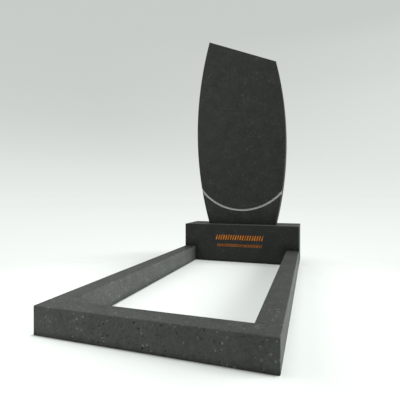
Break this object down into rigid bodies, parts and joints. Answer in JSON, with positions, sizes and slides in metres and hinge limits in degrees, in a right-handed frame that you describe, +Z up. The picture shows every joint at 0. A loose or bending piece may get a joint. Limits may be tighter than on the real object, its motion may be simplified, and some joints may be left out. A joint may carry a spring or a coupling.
{
  "type": "headstone",
  "caption": "Upright granite grave stone: a slab with bulging sides and a slanted top on a pedestal, with low kerbs that frame an open planting bed in front of it.",
  "frame": {"origin": "middle of the footprint, on the ground", "axes": "+Z up, +Y from the front kerb to the pedestal and stele, +X to the right as seen from the front"},
  "size_m": [0.6, 1.2606, 1.1945],
  "materials": {
    "stele_granite": "dark grey fine-grained granite, polished, with a light matt engraved line",
    "pedestal_granite": "dark grey fine-grained granite, polished, with orange-gilded strokes",
    "kerb_granite": "dark grey fine-grained granite with light specks, polished"
  },
  "bodies": {
    "root": {"stele": "stele_granite", "pedestal": "pedestal_granite", "left_kerb": "kerb_granite", "right_kerb": "kerb_granite", "front_kerb": "kerb_granite"}
  },
  "joints": []
}
